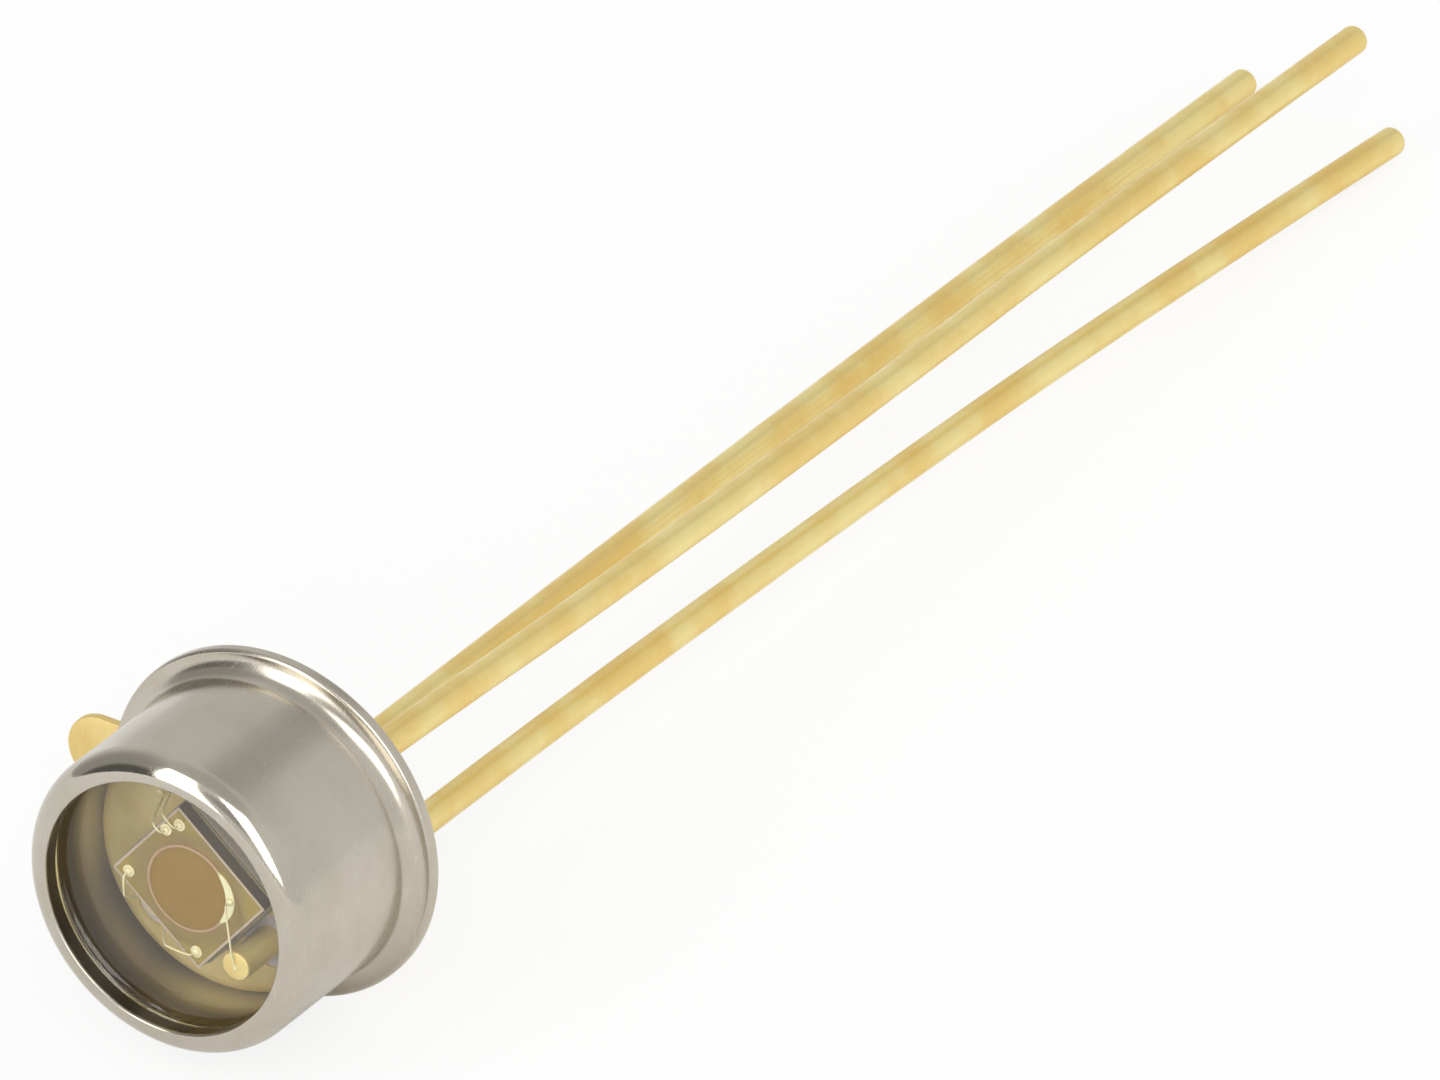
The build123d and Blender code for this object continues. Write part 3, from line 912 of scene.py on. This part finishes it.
# %% Build the stack
level = PLATFORM_H
STACK = (
    ("carrier_solder", "submount_solder", solder, "solder", 0.05, 0.03, 0.05, 0.013, 0.012),
    ("ceramic_carrier", "submount", ceramic, "ceramic", 0.03, 0.43, 0.02, 0.012, 0.0),
    ("carrier_land", "submount_metal", shaded_land_gold, "bond_gold", 0.02, 0.02, 0.02, 0.004, 0.0),
    ("chip_solder", "die_solder", solder, "solder", 0.01, 0.02, 0.03, 0.008, 0.006),
    ("square_chip", "die", chip, "chip", 0.0, CHIP_T, 0.008, 0.004, 0.0),
)
for name, cad_node, finish, slot, margin, thickness, corner_radius, edge, waver in STACK:
    bm = bmesh.new()
    plate(bm, chip_outline(margin, corner_radius, waver), level, level + thickness, edge)
    piece(name, bm, finish, slot, cad_node)
    level += thickness
CHIP_TOP = level
print("the chip's face is", round(CAP_FRONT - CHIP_TOP, 3), "mm behind the cap's front")

# %% [markdown]
# ## Films and pads on the chip
# The active area, the metal ring around it and the bond pads are films. They are given the thickness that
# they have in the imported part. The ring is narrow, and on one side a second disc swells it into the wide
# crescent on which the wire lands.

# %% Build the active area and the ring
FILM_T = 0.02
ACTIVE_R = 0.635
RING_INNER = ACTIVE_R + 0.003
RING_OUTER = 0.68
LANDING_R = 0.46
LANDING_SHIFT = 0.32
LANDING_WAY = CHIP_ANGLE + 41.5
FILM_TOP = CHIP_TOP + FILM_T


def ring_outline(points=240):
    """The ring's outer edge: a circle joined with the disc of the landing."""
    outline = []
    for i in range(points):
        from_landing = 2 * math.pi * i / points - math.pi
        across = LANDING_SHIFT * math.sin(from_landing)
        landing = LANDING_SHIFT * math.cos(from_landing) + math.sqrt(LANDING_R ** 2 - across ** 2)
        outline.append(polar(max(RING_OUTER, landing), LANDING_WAY + math.degrees(from_landing)))
    return outline


bm = bmesh.new()
plate(bm, circle(ACTIVE_R, 180), CHIP_TOP, FILM_TOP, 0.003)
piece("active_film_disc", bm, active_film, "active_film", "active_area")

bm = bmesh.new()
outer = ring_outline()
inner = at_radius(outer, RING_INNER)
bands = [ring_at(bm, outer, CHIP_TOP), ring_at(bm, outer, FILM_TOP - 0.004), ring_at(bm, drawn_in(outer, 0.004), FILM_TOP),
         ring_at(bm, inner, FILM_TOP), ring_at(bm, inner, CHIP_TOP)]
for lower, upper in zip(bands, bands[1:] + bands[:1]):
    join_rings(bm, lower, upper)
piece("ring_around_active_area", bm, ring_metal, "bond_gold", "anode_ring")

# %% Build the bond pads
PAD = 0.18
PAD_CORNER = 0.08
PAD_U = CHIP_U / 2 - 0.20
PAD_W = CHIP_W / 2 - 0.20
SECOND_PAD = (-CHIP_U / 2 + 0.12, PAD_W - 0.26)
PAD_PLACES = {
    "cathode_pad_1": (-PAD_U, -PAD_W),
    "cathode_pad_2": (PAD_U, -PAD_W),
    "shield_pad_1": (-PAD_U, PAD_W),
    "shield_pad_2": SECOND_PAD,
}


def on_chip(u, w):
    return Matrix.Rotation(math.radians(CHIP_ANGLE), 2) @ Vector((u, w))


for name, (u, w) in PAD_PLACES.items():
    half = PAD / 2
    square = rounded([(x * half, y * half, PAD_CORNER) for x, y in ((1, 1), (-1, 1), (-1, -1), (1, -1))], 5)
    turn = Matrix.Rotation(math.radians(CHIP_ANGLE), 2)
    bm = bmesh.new()
    plate(bm, [turn @ p + on_chip(u, w) for p in square], CHIP_TOP, FILM_TOP, 0.004)
    piece(name + "_metal", bm, bare_gold, "bond_gold", name)

# %% [markdown]
# ## Bond wires
# A bonding machine melts the wire's end into a ball, presses it onto the pad, draws a loop and squeezes the
# wire flat on the other side. So each wire is a pressed ball with a short neck, a smooth loop, and a stitch
# like a fish tail. The loop is led by a few points at its real heights.

# %% Build the bond wires
WIRE_R = 0.015
BALL_R = 0.065
BALL_H = 0.045
LOOP_TOP = FILM_TOP + 0.13
STITCH = (0.10, 0.06, 0.02)


def bond_wire(name, start, landing, landing_height, over=None):
    """One wire from a ball on the chip at start to a stitch at landing."""
    target = landing if over is None else over
    heading = (target - start).normalized()
    bm = bmesh.new()
    spin(bm, rounded([(0, FILM_TOP, 0), (BALL_R * 0.8, FILM_TOP, 0.01), (BALL_R, FILM_TOP + BALL_H * 0.45, 0.018),
                      (BALL_R * 0.55, FILM_TOP + BALL_H * 0.9, 0.012), (WIRE_R, FILM_TOP + BALL_H, 0.004),
                      (0, FILM_TOP + BALL_H, 0)], 5), 32, start)
    neck = start + heading * 0.012
    shoulder = start + heading * 0.07
    points = [(*start, FILM_TOP + BALL_H * 0.6), (*start, FILM_TOP + BALL_H + 0.03), (*neck, LOOP_TOP - 0.02),
              (*shoulder, LOOP_TOP)]
    if over is not None:
        points += [(*(over - heading * 0.1), LOOP_TOP), (*(over + heading * 0.02), LOOP_TOP - 0.03)]
    end_way = (landing - target).normalized() if over is not None else heading
    points += [(*(landing - end_way * 0.11), landing_height + 0.045), (*(landing - end_way * 0.03), landing_height + WIRE_R),
               (*landing, landing_height + WIRE_R)]
    path = spaced(smooth_path([Vector(p) for p in points], 12), 0.012)
    tube(bm, path, [WIRE_R] * len(path), 16)
    length, width, thickness = STITCH
    tail = [Vector((length / 2 * math.cos(a), width / 2 * math.sin(a) * (1 + 0.25 * math.cos(a))))
            for a in [2 * math.pi * i / 28 for i in range(28)]]
    turn = Matrix.Rotation(math.atan2(end_way.y, end_way.x), 2)
    plate(bm, [turn @ p + landing for p in tail], landing_height, landing_height + thickness, 0.006)
    piece(name + "_loop", bm, bare_gold, "bond_gold", name)


CARRIER_MARGIN = 0.03
CLEAR = 0.05
landing_middle = polar((RING_INNER + LANDING_SHIFT + LANDING_R) / 2, LANDING_WAY)
bond_wire("anode_wire", landing_middle, polar(PITCH_R, LEAD_ANGLES[2]), HIGH_POST)
low_post = polar(PITCH_R, LEAD_ANGLES[1] - CHIP_ANGLE)
EDGE_W = -CHIP_W / 2 - CARRIER_MARGIN - CLEAR
for number, side in ((1, -1), (2, 1)):
    start = Vector((side * PAD_U, -PAD_W))
    landing = low_post + Vector((side * 0.09, 0))
    over = start.lerp(landing, (EDGE_W - start.y) / (landing.y - start.y))
    bond_wire(f"cathode_wire_{number}", on_chip(*start), on_chip(*landing), LOW_POST, on_chip(*over))
EDGE_U = -CHIP_U / 2 - CARRIER_MARGIN
for number, (u, w) in ((1, (-PAD_U, PAD_W)), (2, SECOND_PAD)):
    bond_wire(f"shield_wire_{number}", on_chip(u, w), on_chip(EDGE_U - 0.34, w - 0.32), PLATFORM_H,
              on_chip(EDGE_U - CLEAR, w))

# %% [markdown]
# ## Floor and light
# The part lies on plain white. Polished metal shows what is around it, so the surroundings matter as much as
# the lamps: a pale room, a darker side to the left and a small dark place where the camera stands. Two large
# soft lamps stand on either side of the camera, and their reflections are the pairs of bright streaks along
# the rims. The level is such that a colour comes out about as it was written.

# %% Floor
floor_mesh = bpy.data.meshes.new("floor")
FLOOR_HALF = 1.5
floor_level = cad_box[0].z
floor_mesh.from_pydata([(x * FLOOR_HALF, y * FLOOR_HALF, floor_level) for x, y in ((-1, -1), (1, -1), (1, 1), (-1, 1))],
                       [], [(0, 1, 2, 3)])
floor = bpy.data.objects.new("floor", floor_mesh)
bpy.context.scene.collection.objects.link(floor)
white_table, tree, shader = new_material("white table", Roughness=0.9, Specular_IOR_Level=0.1)
paths = node(tree, "ShaderNodeLightPath")
seen = calculate(tree, "ADD", calculate(tree, "ADD", paths.outputs["Is Camera Ray"], paths.outputs["Is Glossy Ray"]),
                 paths.outputs["Is Transmission Ray"], clamp=True)
tree.links.new(blend(tree, seen, (0.80, 0.80, 0.79, 1), (1.0, 1.0, 0.995, 1)), shader.inputs["Base Color"])
plain_white = node(tree, "ShaderNodeEmission")
lifted = node(tree, "ShaderNodeMixShader")
tree.links.new(calculate(tree, "MULTIPLY", paths.outputs["Is Camera Ray"], 0.82), lifted.inputs[0])
tree.links.new(shader.outputs[0], lifted.inputs[1])
tree.links.new(plain_white.outputs[0], lifted.inputs[2])
tree.links.new(lifted.outputs[0], tree.nodes["Material Output"].inputs["Surface"])
floor_mesh.materials.append(white_table)


# %% Directions round the part
def direction(azimuth, elevation):
    """The way to something that stands at an azimuth, counted as the camera's is, and an elevation."""
    a = math.radians(azimuth)
    e = math.radians(elevation)
    return Vector((math.sin(a) * math.cos(e), -math.cos(a) * math.cos(e), math.sin(e)))


# %% The pale room
world = bpy.data.worlds.new("pale room")
bpy.context.scene.world = world
world.use_nodes = True
tree = world.node_tree
look = node(tree, "ShaderNodeTexCoord").outputs["Generated"]
ROOM = 0.84
room = (ROOM, ROOM, ROOM * 0.985, 1)
# azimuth, elevation, half width in degrees, softness, brightness
PATCHES = (
    (-150.0, 30.0, 50.0, 30.0, 0.74),
    (-70.0, 20.0, 34.0, 20.0, 0.40),
    (-46.0, 6.0, 18.0, 7.0, 0.13),
    (0.0, 86.0, 26.0, 12.0, 0.60),
    (5.0, 30.0, 12.0, 8.0, 0.45),
    (180.0, 43.0, 10.0, 8.0, 0.52),
)
for azimuth, elevation, half_width, softness, brightness in PATCHES:
    toward = node(tree, "ShaderNodeVectorMath", operation="DOT_PRODUCT")
    tree.links.new(look, toward.inputs[0])
    toward.inputs[1].default_value = direction(azimuth, elevation)
    patch = spread(tree, toward.outputs["Value"], math.cos(math.radians(half_width + softness)),
                   math.cos(math.radians(max(0.0, half_width - softness))))
    room = blend(tree, patch, room, (brightness, brightness, brightness * 0.985, 1))
tree.links.new(room, tree.nodes["Background"].inputs["Color"])

# %% Soft lamps
LAMP_DISTANCE = 0.8
# name, azimuth, elevation, width and height in metres, lean in degrees, brightness
LAMPS = (
    ("left lamp", -25.0, 27.0, 0.28, 0.82, 10.0, 2.6),
    ("right lamp", 29.0, 32.0, 0.40, 0.76, 0.0, 2.6),
)
for name, azimuth, elevation, width, height, lean, brightness in LAMPS:
    light = bpy.data.lights.new(name, "AREA")
    light.shape = "RECTANGLE"
    light.size = width
    light.size_y = height
    light.energy = brightness * math.pi * width * height
    lamp = bpy.data.objects.new(name, light)
    lamp.location = direction(azimuth, elevation) * LAMP_DISTANCE
    lamp.rotation_mode = "QUATERNION"
    facing = direction(azimuth, elevation).to_track_quat("Z", "Y")
    lamp.rotation_quaternion = facing @ Quaternion((0, 0, 1), math.radians(lean))
    lamp.visible_camera = False
    bpy.context.scene.collection.objects.link(lamp)
    print(name, "gives", round(light.energy, 2), "W")

bpy.context.scene.view_settings.view_transform = "Standard"
